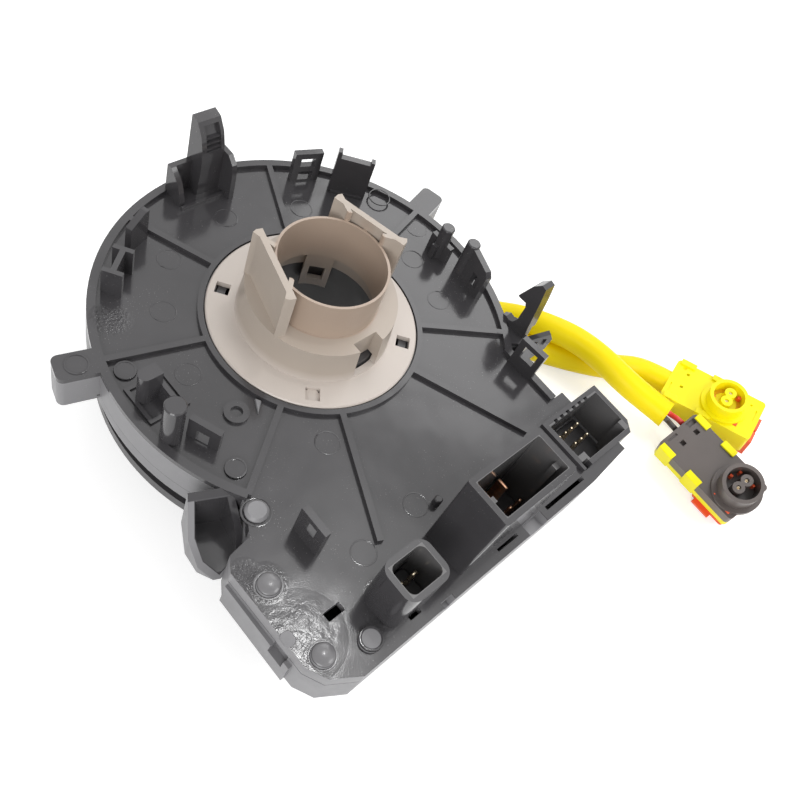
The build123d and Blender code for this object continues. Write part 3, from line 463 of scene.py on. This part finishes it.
materials = {
    "cover": moulded("cover_black", (0.047, 0.045, 0.048), 0.13, wave=0.13, extra=cover_dust_and_painted_light),
    # the case is the same lighter grey, a painted sheen of the white floor
    "case": moulded("case_sheen_grey", side_sheen_grey, 0.42, extra=seam_painted_shade),
    # the stake heads are a lighter grey, a painted sheen for their bright reflections
    "stake": moulded("stake_sheen_grey", (0.16, 0.157, 0.162), 0.2),
    "rotor": moulded("rotor_black", (0.05, 0.048, 0.05), 0.36),
    "hub": moulded("hub_cream", (0.53, 0.475, 0.43), 0.34, tint=0.03, extra=hub_painted_shade),
    "white": moulded("guide_white", (0.74, 0.73, 0.7), 0.4, tint=0.03),
    "film": moulded("slip_film", (0.7, 0.69, 0.66), 0.25, tint=0.02),
    "ribbon": moulded("ribbon_film", (0.62, 0.56, 0.42), 0.3, tint=0.05),
    "lead": moulded("lead_yellow", (0.97, 0.76, 0.0), 0.42, tint=0.02, specular=0.2),
    # dark orange that stands for the shade inside the lead's hollow end and the plug's barrel
    "lead_shade_orange": moulded("lead_shade_orange", (0.8, 0.42, 0.01), 0.5, tint=0.04, specular=0.2),
    "plug_yellow": moulded("plug_yellow", (0.97, 0.87, 0.005), 0.4, tint=0.02, specular=0.25),
    "plug_black": moulded("plug_black", (0.1, 0.083, 0.076), 0.33),
    "lock": moulded("lock_orange", (0.9, 0.11, 0.03), 0.4, tint=0.05),
    "red": moulded("wire_red", (0.85, 0.07, 0.06), 0.3, tint=0.05),
    "black": moulded("wire_black", (0.08, 0.07, 0.066), 0.3),
    "tin": metal("terminal_tin", (0.98, 0.84, 0.62), 0.34),
    "copper": metal("lead_copper", (0.95, 0.56, 0.36), 0.36),
}
finish_of = {
    "stator_cover": "cover", "stator_case": "case", "terminal_carrier": "rotor",
    "two_pin_terminals": "tin", "main_terminals": "copper", "twelve_pin_terminals": "tin",
    "ribbon_cable": "ribbon", "ribbon_outer_block": "white", "ribbon_inner_block": "white",
    "upper_slip_sheet": "film", "lower_slip_sheet": "film", "rotor_disc": "rotor",
    "hub_sleeve": "hub", "lead_frame": "copper", "cable_cover": "rotor", "switch_terminals": "tin",
    "cable_one": "lead", "cable_two": "lead", "red_wire": "red", "black_wire": "black",
    "black_plug_housing": "plug_black", "black_plug_cover": "plug_yellow", "black_plug_lock": "lock",
    "black_plug_contacts": "tin", "yellow_plug_housing": "plug_yellow",
    "yellow_plug_cover": "plug_yellow", "yellow_plug_lock": "lock", "yellow_plug_contacts": "tin",
}
soft_edges = {
    "stator_cover": 0.16, "stator_case": 0.16, "hub_sleeve": 0.2, "rotor_disc": 0.2,
    "black_plug_housing": 0.15, "black_plug_cover": 0.15, "black_plug_lock": 0.12,
    "yellow_plug_housing": 0.15, "yellow_plug_cover": 0.15, "yellow_plug_lock": 0.12,
    "terminal_carrier": 0.12, "cable_cover": 0.12,
}


def soften(obj, width):
    """Merges split corners, drops needless edges and breaks the edges as a mould leaves them."""
    weld = obj.modifiers.new("weld", "WELD")
    weld.merge_threshold = weld_reach
    flat = obj.modifiers.new("flat", "DECIMATE")
    flat.decimate_type = "DISSOLVE"
    flat.angle_limit = math.radians(flat_angle)
    if width:
        edge = obj.modifiers.new("edge", "BEVEL")
        edge.width = width * MM
        edge.segments = 2
        edge.limit_method = "ANGLE"
        edge.angle_limit = math.radians(edge_angle)
    obj.data.shade_smooth()
    obj.modifiers.new("shade", "WEIGHTED_NORMAL").keep_sharp = True


def finish_node(name):
    """A carried-over node's material and softened edges."""
    obj = nodes[name]
    obj.data.materials.clear()
    obj.data.materials.append(materials[finish_of[name]])
    soften(obj, soft_edges.get(name))


def linked(name, data):
    """A new object in the scene."""
    obj = bpy.data.objects.new(name, data)
    bpy.context.scene.collection.objects.link(obj)
    return obj


def route_curve(name, route, radius):
    """A lead as a smooth curve through its route's control points."""
    curve = bpy.data.curves.new(name, "CURVE")
    curve.dimensions = "3D"
    curve.bevel_depth = radius
    curve.bevel_resolution = 6
    curve.use_fill_caps = True
    spline = curve.splines.new("NURBS")
    spline.points.add(len(route) - 1)
    for point, place in zip(spline.points, route):
        point.co = (*(v * MM for v in place), 1.0)
    spline.order_u = 3
    spline.use_endpoint_u = True
    spline.resolution_u = 16
    return linked(name, curve)


def mesh_object(name, bm):
    """A new object from a mesh in the making, which is used up."""
    mesh = bpy.data.meshes.new(name)
    bm.to_mesh(mesh)
    bm.free()
    return linked(name, mesh)


def new_piece(name, bm, material, body, width=None):
    """A finished mesh piece that rides on a body, its edges broken by a width in mm."""
    bmesh.ops.recalc_face_normals(bm, faces=bm.faces)
    obj = mesh_object(name, bm)
    obj.data.materials.append(materials[material])
    soften(obj, width)
    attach(obj, body)
    return obj


def solid(bm, outline, z0, z1, place=Matrix()):
    """A closed prism over a plan outline, in mm, set in the part's frame by place."""
    rings = [[bm.verts.new(place @ (Vector((x, y, z)) * MM)) for x, y in outline] for z in (z0, z1)]
    bm.faces.new(rings[0][::-1])
    bm.faces.new(rings[1])
    for n in range(len(outline)):
        bm.faces.new((rings[0][n - 1], rings[0][n], rings[1][n], rings[1][n - 1]))


def block(bm, x0, x1, y0, y1, z0, z1, place=Matrix()):
    """A closed box in mm."""
    solid(bm, [(x0, y0), (x1, y0), (x1, y1), (x0, y1)], z0, z1, place)


def rounded(x0, x1, y0, y1, radius, steps=5):
    """A rectangle's outline with round corners, in mm."""
    outline = []
    corners = ((x1 - radius, y0 + radius, -90), (x1 - radius, y1 - radius, 0),
               (x0 + radius, y1 - radius, 90), (x0 + radius, y0 + radius, 180))
    for x, y, start in corners:
        for n in range(steps + 1):
            turn = math.radians(start + 90 * n / steps)
            outline.append((x + radius * math.cos(turn), y + radius * math.sin(turn)))
    return outline


def turned(bm, profile, place, sides=48):
    """A closed ring swept from a profile of (radius, height) points in mm about place's z axis."""
    rows = []
    for n in range(sides):
        turn = 2 * math.pi * n / sides
        rows.append([bm.verts.new(place @ (Vector((r * math.cos(turn), r * math.sin(turn), z)) * MM))
                     for r, z in profile])
    for n in range(sides):
        for k in range(len(profile)):
            bm.faces.new((rows[n - 1][k - 1], rows[n][k - 1], rows[n][k], rows[n - 1][k]))


def ridge(radius, foot, crest, low, high):
    """The profile of a ring's ridge, by the half widths of its foot and crest and by its heights."""
    return [(radius - foot, low), (radius + foot, low), (radius + crest, high), (radius - crest, high)]


def dome(bm, place, radius, height, sides=40, steps=6):
    """A shallow closed cap of a sphere in mm, flat below."""
    rows = []
    for k in range(steps):
        turn = math.pi / 2 * k / steps
        rows.append([bm.verts.new(place @ (Vector((
            radius * math.cos(turn) * math.cos(2 * math.pi * n / sides),
            radius * math.cos(turn) * math.sin(2 * math.pi * n / sides), height * math.sin(turn))) * MM))
            for n in range(sides)])
    top = bm.verts.new(place @ (Vector((0, 0, height)) * MM))
    bm.faces.new(rows[0][::-1])
    for low, high in zip(rows, rows[1:]):
        for n in range(sides):
            bm.faces.new((low[n - 1], low[n], high[n], high[n - 1]))
    for n in range(sides):
        bm.faces.new((rows[-1][n - 1], rows[-1][n], top))


def surface(tree, x, y, top=1.0):
    """The height in mm of the first surface below a point, on a node's search tree."""
    hit = tree.ray_cast(Vector((x, y, top)) * MM, Vector((0, 0, -1)))[0]
    return hit.z / MM if hit else floor_z / MM


def at(x, y, z):
    """A plain place in mm."""
    return Matrix.Translation(Vector((x, y, z)) * MM)


def axes_at(x_axis, y_axis, z_axis, origin):
    """The place with three given axes at an origin in metres."""
    rows = [(x_axis[n], y_axis[n], z_axis[n], origin[n]) for n in range(3)]
    return Matrix((*rows, (0, 0, 0, 1)))


def make_plate_marks():
    """Ejector rings, stake heads, a wedge, a ledge and the latch's cap, as mould and staking left them."""
    bm = bmesh.new()
    bm.from_mesh(nodes["stator_cover"].data)
    tree = BVHTree.FromBMesh(bm)
    bm.free()
    bm = bmesh.new()
    for x, y in ejector_points:
        place = at(x, y, surface(tree, x + ejector_r, y))
        turned(bm, ridge(ejector_r, *ejector_ridge), place)
    for x, y, z, r in mark_rings:
        turned(bm, ridge(r, *boss_ridge), at(x, y, z))
    new_piece("ejector_rings", bm, "cover", "stator")
    bm = bmesh.new()
    for x, y in stake_domes:
        dome(bm, at(x, y, stake_top - dome_sink), dome_r, dome_h)
        turned(bm, stake_collar, at(x, y, floor_z / MM))
    new_piece("stake_domes", bm, "stake", "stator")
    bm = bmesh.new()
    solid(bm, wedge_outline, *wedge_heights)
    new_piece("plate_wedge", bm, "case", "stator", 0.3)
    bm = bmesh.new()
    block(bm, *ledge_zone, *ledge_heights)
    new_piece("flange_ledge", bm, "hub", "rotor")
    bm = bmesh.new()
    solid(bm, rounded(*cap_outline), *cap_heights)
    new_piece("latch_cap", bm, "case", "stator", 0.2)


def plug_place(origin, x_dir, z_dir):
    """A plug's own frame: x runs to its nose and z out of its top."""
    up = Vector(z_dir).normalized()
    ahead = Vector(x_dir)
    ahead = (ahead - up * ahead.dot(up)).normalized()
    across = up.cross(ahead)
    return axes_at(ahead, across, up, Vector(origin) * MM)


def plug_shell(colour, place, holes):
    """A plug's upper shell with the photograph's plain top and small holes, from its CAD mesh."""
    name = f"{colour}_plug_shell"
    bm = bmesh.new()
    bm.from_mesh(nodes[f"{colour}_plug_housing"].data)
    home = place.inverted()
    for vert in bm.verts:
        spot = (home @ vert.co) / MM
        in_plan = recess_span[0] < spot.x < recess_span[1] and abs(spot.y) < recess_half
        if in_plan and recess_heights[0] < spot.z < recess_heights[1]:
            vert.co = place @ (Vector((spot.x, spot.y, 0.0)) * MM)
    bmesh.ops.remove_doubles(bm, verts=bm.verts, dist=weld_reach)
    bmesh.ops.dissolve_degenerate(bm, edges=bm.edges, dist=weld_reach)
    shell = mesh_object(name, bm)
    bm = bmesh.new()
    for x0, x1, y0, y1, depth in holes:
        block(bm, x0, x1, y0, y1, -depth, 0.5, place)
    bmesh.ops.recalc_face_normals(bm, faces=bm.faces)
    cutter = mesh_object("holes", bm)
    cut = shell.modifiers.new("cut", "BOOLEAN")
    cut.operation = "DIFFERENCE"
    cut.solver = "EXACT"
    cut.object = cutter
    graph = bpy.context.evaluated_depsgraph_get()
    carved = bpy.data.meshes.new_from_object(shell.evaluated_get(graph))
    shell.modifiers.clear()
    shell.data = carved
    carved.materials.clear()
    carved.materials.append(materials[f"plug_{colour}"])
    bpy.data.objects.remove(cutter)
    soften(shell, width=0.12)
    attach(shell, "rotor")
    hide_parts(f"{colour}_plug_housing")
    return shell


def barrel_shade_ring(place):
    """A dark orange ring on the floor inside the yellow plug's barrel, painted as its shade."""
    inner, outer = barrel_radii
    low, high = barrel_z, barrel_z + barrel_depth
    bm = bmesh.new()
    # painted shade: a dark orange ring on the barrel's floor
    turned(bm, [(inner, low), (outer, low), (outer, high), (inner, high)], place @ at(barrel_x, 0, 0))
    shade_disc = new_piece("yellow_plug_barrel_shade", bm, "lead_shade_orange", "rotor")
    return shade_disc


def plug_pieces(colour, place, holes, ears, keys):
    """A plug's pieces: shell, lower shell with its four tabs, lock with its ears, and keys."""
    pieces = [plug_shell(colour, place, holes)]
    bm = bmesh.new()
    solid(bm, rounded(*shell_outline), *shell_heights, place)
    for x in tab_starts:
        for side in (-1, 1):
            solid(bm, [(side * y, z) for y, z in tab_hook], x, x + tab_length, place @ ahead_up)
    cover = new_piece(f"{colour}_plug_lower_shell", bm, "plug_yellow", "rotor", width=0.15)
    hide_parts(f"{colour}_plug_cover")
    bm = bmesh.new()
    solid(bm, rounded(*lock_outline), *lock_heights, place)
    for y in (-arm_middle, arm_middle):
        block(bm, *arm_span, y - arm_half, y + arm_half, *arm_heights, place)
    for x0, x1, y0, y1, z1 in ears:
        block(bm, x0, x1, y0, y1, lock_heights[0], z1, place)
    lock = new_piece(f"{colour}_plug_lock_slide", bm, "lock", f"{colour}_lock", width=0.12)
    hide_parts(f"{colour}_plug_lock")
    bm = bmesh.new()
    for x, y, size, low, high in keys:
        half = size * key_ratio
        block(bm, x - size / 2, x + size / 2, y - half, y + half, low, high, place)
    marks = new_piece(f"{colour}_plug_keys", bm, "lock", "rotor", width=0.15)
    if colour == "yellow":
        pieces.append(barrel_shade_ring(place))
    return pieces + [cover, lock, marks]


def lead_end(route):
    """The cut end of the first lead's jacket, open round its two cores, and a dark orange disc in it
    painted as the hollow's shade.
    """
    tip = Vector(route[-1])
    along = (tip - Vector(route[-2])).normalized()
    across = Vector((0, 0, 1)).cross(along).normalized()
    up = along.cross(across)
    place = axes_at(across, up, along, tip * MM)
    bm = bmesh.new()
    turned(bm, jacket_profile, place, sides=72)
    for vert in bm.verts:
        spot = place.inverted() @ vert.co / MM
        if spot.z > jacket_lip:
            cut = spot.z - jacket_slant * (spot.y - spot.x * 0.5)
            vert.co = place @ (Vector((spot.x, spot.y, cut)) * MM)
    jacket = new_piece("lead_one_open_end", bm, "lead", "rotor")
    # painted shade: a dark orange disc set inside the hollow end
    bm = bmesh.new()
    solid(bm, [(shade_disc_r * math.cos(math.radians(10 * n)), shade_disc_r * math.sin(math.radians(10 * n)))
               for n in range(36)], 0.0, shade_disc_depth, place)
    shade_disc = new_piece("lead_one_shade_disc", bm, "lead_shade_orange", "rotor")
    return [jacket, shade_disc]


def make_leads():
    """The two airbag leads and their plugs in place of the plain ones."""
    for name, node, route, length, colour, plug in (
        ("yellow_lead_one", "cable_one", cable_one_route, cable_one_length, "black", black_plug),
        ("yellow_lead_two", "cable_two", cable_two_route, cable_two_length, "yellow", yellow_plug),
    ):
        lead = route_curve(name, route, lead_d / 2)
        lead.data.materials.append(materials["lead"])
        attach(lead, "rotor")
        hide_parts(node)
        held = plug_pieces(colour, plug_place(*plug["frame"]), plug["holes"], plug["ears"], plug["keys"])
        held.append(f"{colour}_plug_contacts")
        if colour == "black":
            held += [*lead_end(route), "red_wire", "black_wire"]


def heading(azimuth, elevation):
    """The direction towards an azimuth and elevation in degrees."""
    az, el = math.radians(azimuth), math.radians(elevation)
    return Vector((math.sin(az) * math.cos(el), -math.cos(az) * math.cos(el), math.sin(el)))


def camera_back():
    """The direction from what the camera looks at to the camera."""
    return heading(view_azimuth, view_elevation)


def add_camera():
    """The photograph's view point."""
    back = camera_back()
    place = view_target + back * view_distance
    right = (-back).cross(Vector((0, 0, 1))).normalized()
    up = right.cross(-back)
    turn = math.radians(view_roll)
    x_axis = math.cos(turn) * right + math.sin(turn) * up
    y_axis = -math.sin(turn) * right + math.cos(turn) * up
    data = bpy.data.cameras.new("camera")
    data.sensor_width = sensor_mm
    data.lens = focal_px / frame_px * sensor_mm
    data.clip_start = 0.01
    camera = linked("camera", data)
    camera.matrix_world = axes_at(x_axis, y_axis, back, place)
    bpy.context.scene.camera = camera


def add_softbox(name, toward, place, size, level):
    """A square soft light of a given brightness, facing a point; 1 is as bright as white."""
    data = bpy.data.lights.new(name, "AREA")
    data.shape = "SQUARE"
    data.size = size
    data.energy = level * math.pi * size * size
    lamp = linked(name, data)
    lamp.location = place
    lamp.rotation_mode = "QUATERNION"
    lamp.rotation_quaternion = (toward - place).to_track_quat("-Z", "Y")


def mirrored(x, y, reach):
    """A point on the plate, in mm, and the place that the camera sees mirrored in it."""
    spot = Vector((x * MM, y * MM, floor_z))
    ray = (spot - view_target - camera_back() * view_distance).normalized()
    ray.z = -ray.z
    return spot, spot + ray * reach


def sky_place(azimuth, elevation, reach):
    """A place round the object, by its direction and distance."""
    return view_target + heading(azimuth, elevation) * reach


def add_stage():
    """White floor, pale world and six soft lights."""
    scene = bpy.context.scene
    scene.view_settings.view_transform = "Standard"
    bm = bmesh.new()
    bmesh.ops.create_grid(bm, x_segments=1, y_segments=1, size=floor_half)
    floor = mesh_object("floor", bm)
    floor.location = (0, 0, table_z - floor_gap)
    mat, tree, shader = node_tree("floor_white")
    shader.inputs["Base Color"].default_value = (floor_white, floor_white, floor_white, 1)
    shader.inputs["Roughness"].default_value = 0.8
    shader.inputs["Specular IOR Level"].default_value = 0.2
    shader.inputs["Emission Color"].default_value = (1, 1, 1, 1)
    path = tree.nodes.new("ShaderNodeLightPath")
    seen = calc(tree, "MAXIMUM", path.outputs["Is Camera Ray"], path.outputs["Is Glossy Ray"])
    tree.links.new(calc(tree, "MULTIPLY", seen, floor_glow), shader.inputs["Emission Strength"])
    floor.data.materials.append(mat)
    world = bpy.data.worlds.new("studio")
    world.use_nodes = True
    scene.world = world
    sky = world.node_tree.nodes["Background"]
    sky.inputs["Color"].default_value = (1, 1, 1, 1)
    tree = world.node_tree
    path = tree.nodes.new("ShaderNodeLightPath")
    seen = calc(tree, "MAXIMUM", path.outputs["Is Camera Ray"], path.outputs["Is Glossy Ray"])
    seen = calc(tree, "MAXIMUM", seen, path.outputs["Is Transmission Ray"])
    strength = calc(tree, "ADD", sky_strength, calc(tree, "MULTIPLY", seen, 1.0 - sky_strength))
    tree.links.new(strength, sky.inputs["Strength"])
    for name, x, y, size, level in mirrored_boxes:
        spot, place = mirrored(x, y, mirror_reach)
        add_softbox(name, spot, place, size, level)
    for name, azimuth, elevation, reach, size, level in sky_boxes:
        add_softbox(name, view_target, sky_place(azimuth, elevation, reach), size, level)


add_camera()
add_stage()
make_leads()
make_plate_marks()
for node_name in nodes:
    finish_node(node_name)
